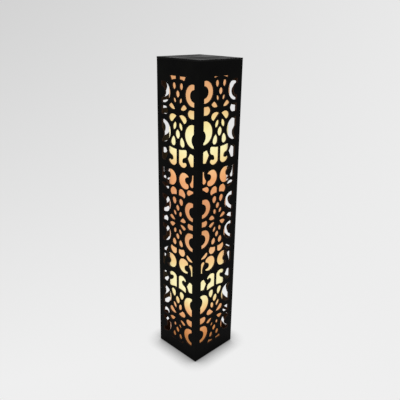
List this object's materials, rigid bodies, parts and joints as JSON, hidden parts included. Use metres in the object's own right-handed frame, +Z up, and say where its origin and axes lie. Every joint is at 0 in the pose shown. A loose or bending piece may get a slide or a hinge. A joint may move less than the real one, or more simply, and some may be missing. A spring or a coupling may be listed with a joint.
{
  "type": "lantern floor lamp",
  "caption": "Tall square lantern floor lamp: four pierced scrollwork boards round an opal sleeve with bulbs inside, under a lift-off lid.",
  "frame": {"origin": "on the floor under the middle of the square casing", "axes": "+Z up; the four boards face -X, -Y, +X and +Y, and the corner between -X and -Y is the front corner"},
  "size_m": [0.2, 0.2, 1.1],
  "materials": {
    "black_lacquered_board": "satin black lacquer on fibreboard",
    "bare_softwood": "planed, unfinished",
    "black_felt": "pressed felt",
    "black_rubber": "matt",
    "opal_sheet": "translucent opal sheet",
    "zinc_steel": "bright zinc plate",
    "black_phenolic": "moulded, slightly glossy",
    "brass_strip": "bright",
    "plated_cap": "rolled",
    "white_housing": "moulded white",
    "frosted_globe": "frosted, lit"
  },
  "bodies": {
    "casing": {"front_left_fret_panel": "black_lacquered_board", "front_right_fret_panel": "black_lacquered_board", "rear_right_fret_panel": "black_lacquered_board", "rear_left_fret_panel": "black_lacquered_board", "front_corner_batten": "bare_softwood", "left_corner_batten": "bare_softwood", "rear_corner_batten": "bare_softwood", "right_corner_batten": "bare_softwood", "base_board": "bare_softwood", "base_plinth": "bare_softwood", "felt_feet": "black_felt", "cable_bush": "black_rubber", "opal_sleeve": "opal_sheet", "lamp_post": "zinc_steel", "post_foot_plate": "zinc_steel", "lower_arm": "zinc_steel", "lower_nipple": "zinc_steel", "lower_nipple_nut": "zinc_steel", "lower_holder_base": "black_phenolic", "lower_holder_shell": "black_phenolic", "lower_holder_contact": "brass_strip", "lower_screw_shell": "brass_strip", "upper_arm": "zinc_steel", "upper_nipple": "zinc_steel", "upper_nipple_nut": "zinc_steel", "upper_holder_base": "black_phenolic", "upper_holder_shell": "black_phenolic", "upper_holder_contact": "brass_strip", "upper_screw_shell": "brass_strip"},
    "lid": {"lid_board": "black_lacquered_board", "lid_cleats": "bare_softwood"},
    "lower_bulb": {"lower_bulb_cap": "plated_cap", "lower_bulb_housing": "white_housing", "lower_bulb_globe": "frosted_globe"},
    "upper_bulb": {"upper_bulb_cap": "plated_cap", "upper_bulb_housing": "white_housing", "upper_bulb_globe": "frosted_globe"}
  },
  "joints": [
    {"name": "lid_lift", "type": "slide", "parent": "casing", "child": "lid", "axis": [0, 0, 1], "range_m": [0, 0.12]},
    {"name": "lower_bulb_screw", "type": "hinge", "parent": "casing", "child": "lower_bulb", "pos_m": [0, 0, 0.265], "axis": [0, 0, 1], "range_deg": [0, 1080]},
    {"name": "upper_bulb_screw", "type": "hinge", "parent": "casing", "child": "upper_bulb", "pos_m": [0, 0, 0.781], "axis": [0, 0, 1], "range_deg": [0, 1080]}
  ]
}
